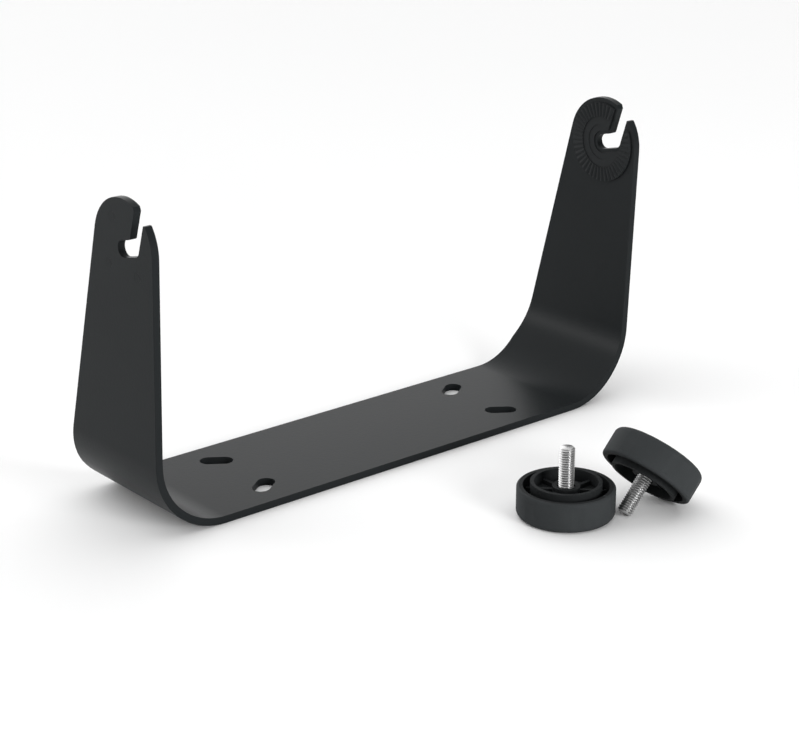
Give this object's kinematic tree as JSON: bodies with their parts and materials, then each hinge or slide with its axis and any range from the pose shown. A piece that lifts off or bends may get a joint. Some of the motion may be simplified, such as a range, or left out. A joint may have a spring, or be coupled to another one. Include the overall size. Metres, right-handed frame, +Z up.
{
  "type": "display bail bracket",
  "caption": "Tapered U-shaped bail bracket with hooked stud slots, toothed rosettes inside its arm heads, a slotted base and loose round clamping knobs on steel studs.",
  "frame": {"origin": "middle of the base plate's underside, on the surface that the bracket stands on", "axes": "+X along the base from the left arm to the right arm, -Y to the front where the slots open, +Z up the arms"},
  "size_m": [0.2, 0.1411, 0.1066],
  "materials": {
    "powder_coat": "satin black powder coat with a fine texture",
    "rosette_plastic": "matte black moulded plastic",
    "rivet": "black, flush with the coated arm",
    "knob_plastic": "satin black moulded plastic",
    "stud_steel": "bright rolled thread"
  },
  "bodies": {
    "bracket": {"bail_bracket": "powder_coat", "left_rosette": "rosette_plastic", "right_rosette": "rosette_plastic", "left_rivets": "rivet", "right_rivets": "rivet"},
    "knob_1": {"knob_1": "knob_plastic", "knob_1_stud": "stud_steel"},
    "knob_2": {"knob_2": "knob_plastic", "knob_2_stud": "stud_steel"}
  },
  "joints": [
    {"name": "knob_1_lift", "type": "slide", "parent": "bracket", "child": "knob_1", "axis": [-0.5, 0, 0.866], "range_m": [0, 0.1]},
    {"name": "knob_2_lift", "type": "slide", "parent": "bracket", "child": "knob_2", "axis": [0, 0, 1], "range_m": [0, 0.09]}
  ]
}
